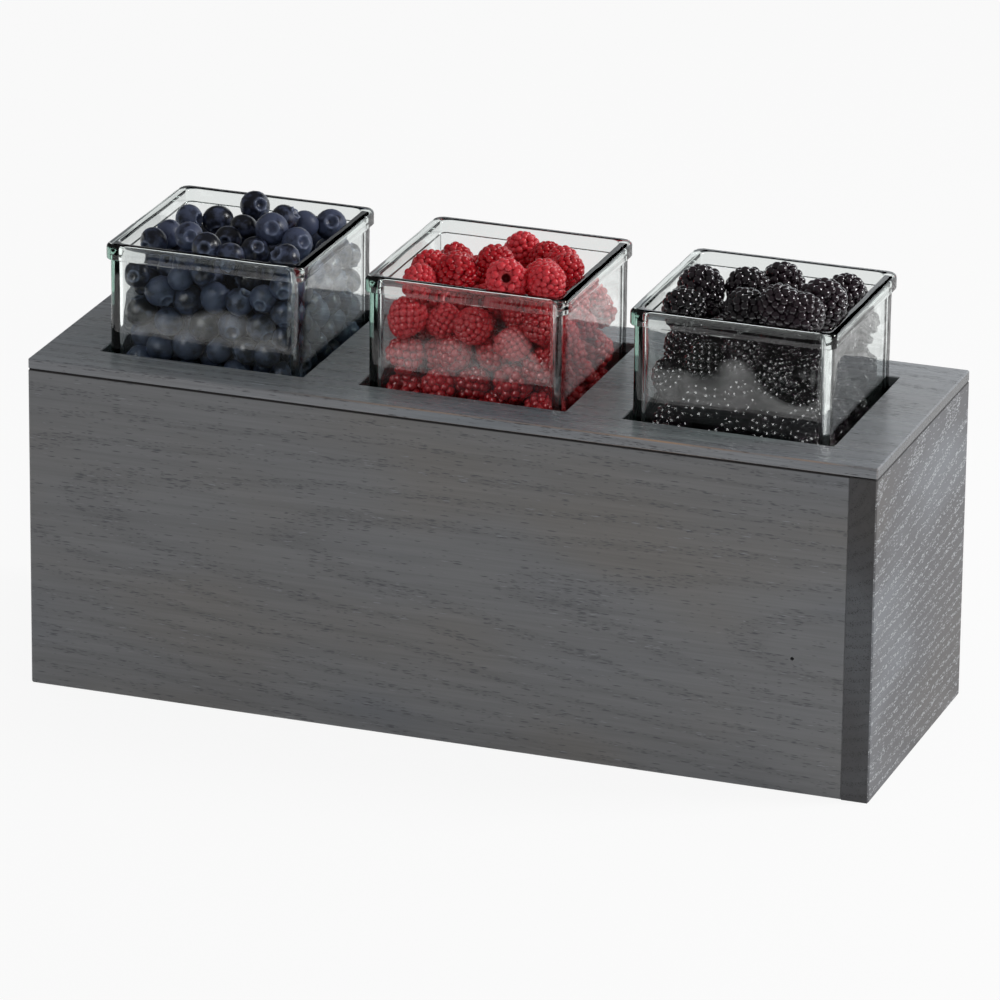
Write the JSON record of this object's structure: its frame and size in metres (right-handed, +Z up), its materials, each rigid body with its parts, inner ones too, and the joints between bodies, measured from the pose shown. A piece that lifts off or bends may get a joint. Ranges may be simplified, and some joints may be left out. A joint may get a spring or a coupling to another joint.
{
  "type": "bar garnish tray",
  "caption": "Stained oak box with a lift-off top board whose square cut-outs each hold a lift-out square glass jar for garnish.",
  "frame": {"origin": "middle of the underside", "axes": "+Z up, +X along the row of jars to the right, front at -Y"},
  "size_m": [0.3808, 0.1334, 0.1974],
  "materials": {
    "gray_oak": "gray stained open-pored oak, satin",
    "inner_wood": "gray stained oak strip, matt",
    "shelf_panel": "gray stained plywood, matt",
    "screw_steel": "zinc plated",
    "jar_glass": "clear pressed glass, faintly green"
  },
  "bodies": {
    "box": {"front_board": "gray_oak", "back_board": "gray_oak", "left_end_board": "gray_oak", "right_end_board": "gray_oak", "front_cleat": "inner_wood", "back_cleat": "inner_wood", "jar_shelf": "shelf_panel", "front_cleat_screws": "screw_steel", "back_cleat_screws": "screw_steel"},
    "lid": {"top_board": "gray_oak", "left_end_batten": "inner_wood", "left_web_batten": "inner_wood", "right_web_batten": "inner_wood", "right_end_batten": "inner_wood"},
    "left_jar": {"left_jar": "jar_glass"},
    "middle_jar": {"middle_jar": "jar_glass"},
    "right_jar": {"right_jar": "jar_glass"}
  },
  "joints": [
    {"name": "lid_lift", "type": "slide", "parent": "box", "child": "lid", "axis": [0, 0, 1], "range_m": [0, 0.08]},
    {"name": "left_jar_lift", "type": "slide", "parent": "box", "child": "left_jar", "axis": [0, 0, 1], "range_m": [0, 0.12]},
    {"name": "middle_jar_lift", "type": "slide", "parent": "box", "child": "middle_jar", "axis": [0, 0, 1], "range_m": [0, 0.12]},
    {"name": "right_jar_lift", "type": "slide", "parent": "box", "child": "right_jar", "axis": [0, 0, 1], "range_m": [0, 0.12]}
  ]
}
